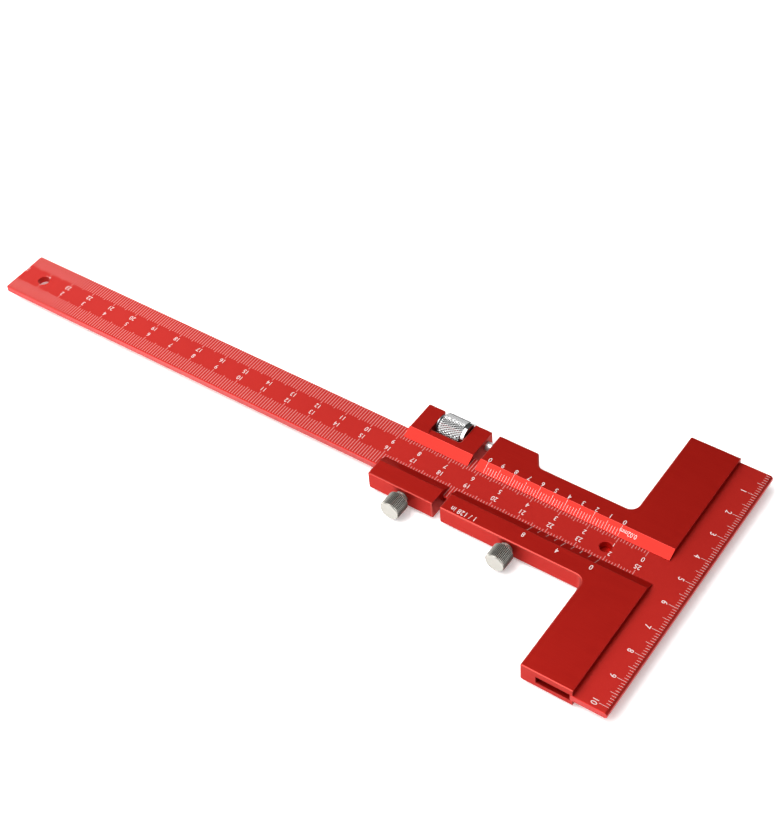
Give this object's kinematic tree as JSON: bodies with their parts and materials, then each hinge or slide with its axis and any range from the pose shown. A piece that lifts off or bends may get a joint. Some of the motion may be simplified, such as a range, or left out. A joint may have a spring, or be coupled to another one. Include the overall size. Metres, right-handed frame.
{
  "type": "t square",
  "caption": "Marking T square: flat graduated T blade with a sliding vernier fence, a fine-feed carriage behind it, a knurled feed nut and thumb lock screws.",
  "frame": {"origin": "where the beam's centre line meets the outer edge of the crossbar, half way through the blade's thickness", "axes": "+X runs along the beam and out through the crossbar's outer edge, +Y runs across the beam towards the feed nut, +Z is the graduated side"},
  "size_m": [0.268, 0.102, 0.0096],
  "materials": {
    "blade_anodised": "bead-blasted, bright red anodised, laser-marked scales",
    "slider_anodised": "fine satin, deep red anodised, laser-marked scales",
    "nickel_screw": "nickel-plated steel, straight knurl, turned end face",
    "bright_nut": "bright plated steel, diamond knurl",
    "bright_screw": "stainless steel, rolled thread",
    "spring_bronze": "rolled strip, dull",
    "spring_steel": "blued spring steel",
    "black_oxide": "black oxide, oiled"
  },
  "bodies": {
    "blade": {"t_blade": "blade_anodised"},
    "fence": {"fence_body": "slider_anodised", "feed_screw": "bright_screw", "feed_screw_grub": "black_oxide"},
    "fence_strip": {"fence_clamp_strip": "spring_bronze"},
    "fence_lock": {"fence_lock_screw": "nickel_screw"},
    "carriage": {"carriage_body": "slider_anodised", "nut_spring_washer": "spring_steel"},
    "carriage_strip": {"carriage_clamp_strip": "spring_bronze"},
    "carriage_lock": {"carriage_lock_screw": "nickel_screw"},
    "nut": {"feed_nut": "bright_nut"}
  },
  "joints": [
    {"name": "fence_slide", "type": "slide", "parent": "blade", "child": "fence", "axis": [1, 0, 0], "range_m": [-0.158, 0.0111]},
    {"name": "fence_strip_press", "type": "slide", "parent": "fence", "child": "fence_strip", "axis": [0, -1, 0], "range_m": [0, 0.0007]},
    {"name": "fence_lock_turn", "type": "hinge", "parent": "fence_strip", "child": "fence_lock", "pos_m": [-0.0551, -0.0192, 0], "axis": [0, -1, 0], "range_deg": [-0.5, 360.5]},
    {"name": "carriage_feed", "type": "slide", "parent": "fence", "child": "carriage", "axis": [1, 0, 0], "range_m": [-0.003, 0.0025]},
    {"name": "feed_nut_turn", "type": "hinge", "parent": "carriage", "child": "nut", "pos_m": [-0.0935, 0.01665, 0], "axis": [1, 0, 0], "range_deg": [-2160.5, 1800.5]},
    {"name": "carriage_strip_press", "type": "slide", "parent": "carriage", "child": "carriage_strip", "axis": [0, -1, 0], "range_m": [0, 0.0007]},
    {"name": "carriage_lock_turn", "type": "hinge", "parent": "carriage_strip", "child": "carriage_lock", "pos_m": [-0.0934, -0.0192, 0], "axis": [0, -1, 0], "range_deg": [-0.5, 360.5]}
  ],
  "couplings": [
    {"joint": "fence_lock_turn", "follows": "fence_strip_press", "rad_per_m": 8976},
    {"joint": "carriage_lock_turn", "follows": "carriage_strip_press", "rad_per_m": 8976},
    {"joint": "feed_nut_turn", "follows": "carriage_feed", "rad_per_m": 12566}
  ]
}
